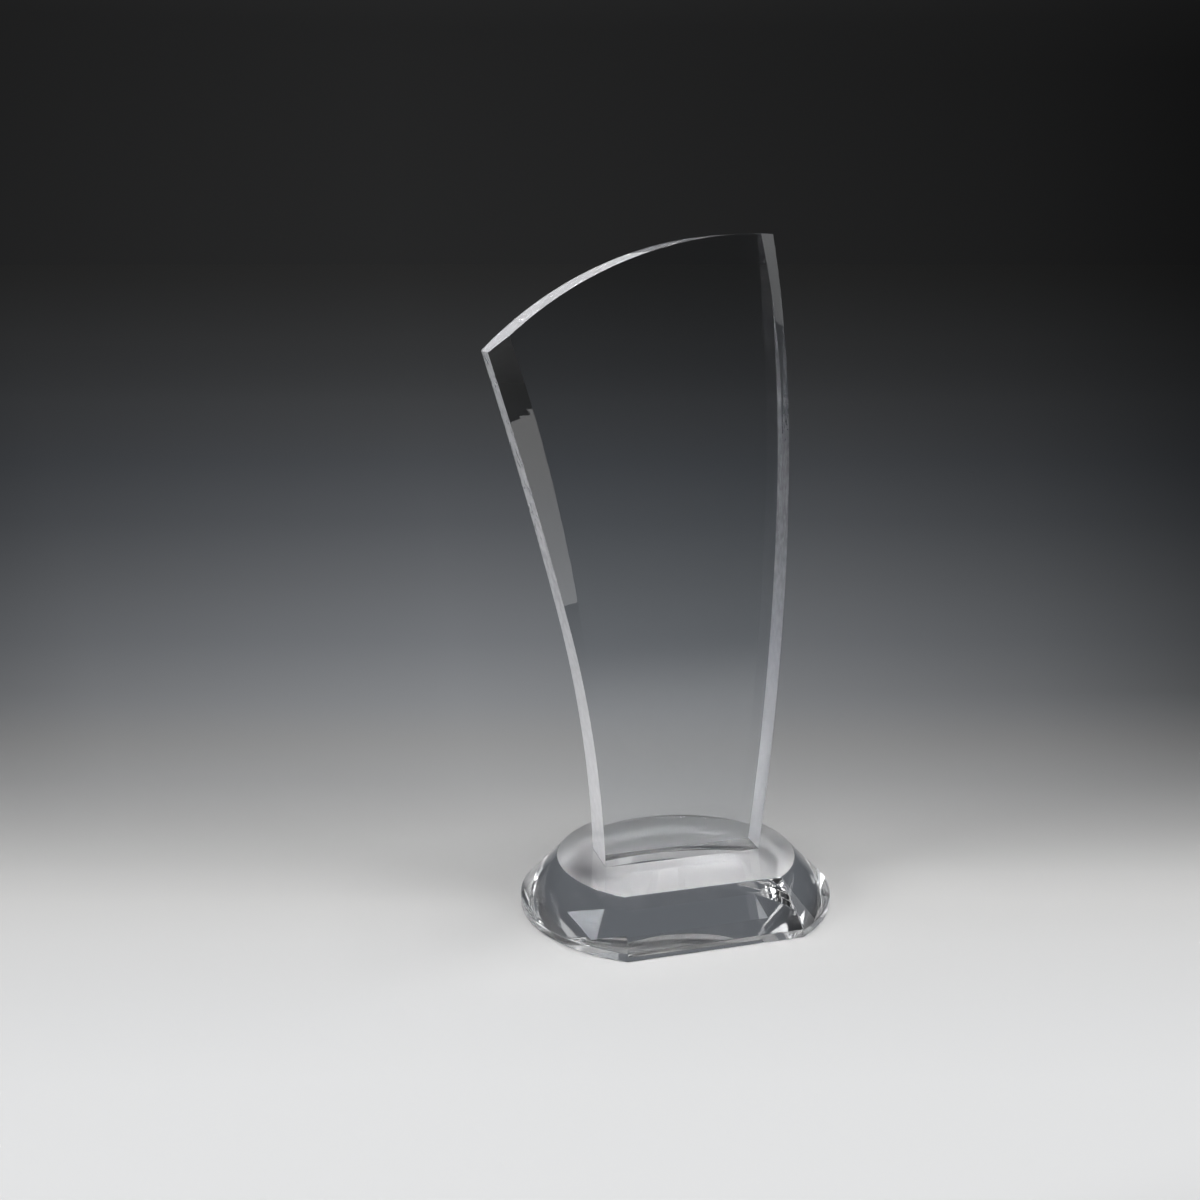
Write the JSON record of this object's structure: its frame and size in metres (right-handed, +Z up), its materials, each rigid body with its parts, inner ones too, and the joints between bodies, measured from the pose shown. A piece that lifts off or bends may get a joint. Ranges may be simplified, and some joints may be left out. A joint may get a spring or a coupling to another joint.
{
  "type": "crystal award",
  "caption": "Leaning clear crystal plate with feathered side bevels, bonded upright on a thick oval block with a sloped rim and one flat front.",
  "frame": {"origin": "centre of the oval block's full outline, on its underside", "axes": "+Z up along the plate, +X to the viewer's right, -Y towards the block's flat front and the viewer"},
  "size_m": [0.1331, 0.1047, 0.2539],
  "materials": {
    "block_crystal": "ground and polished clear optical crystal",
    "plate_crystal": "ground and polished clear optical crystal",
    "clear_adhesive": "clear light-cured adhesive film"
  },
  "bodies": {
    "root": {"base": "block_crystal", "adhesive_film": "clear_adhesive", "plate": "plate_crystal"}
  },
  "joints": []
}
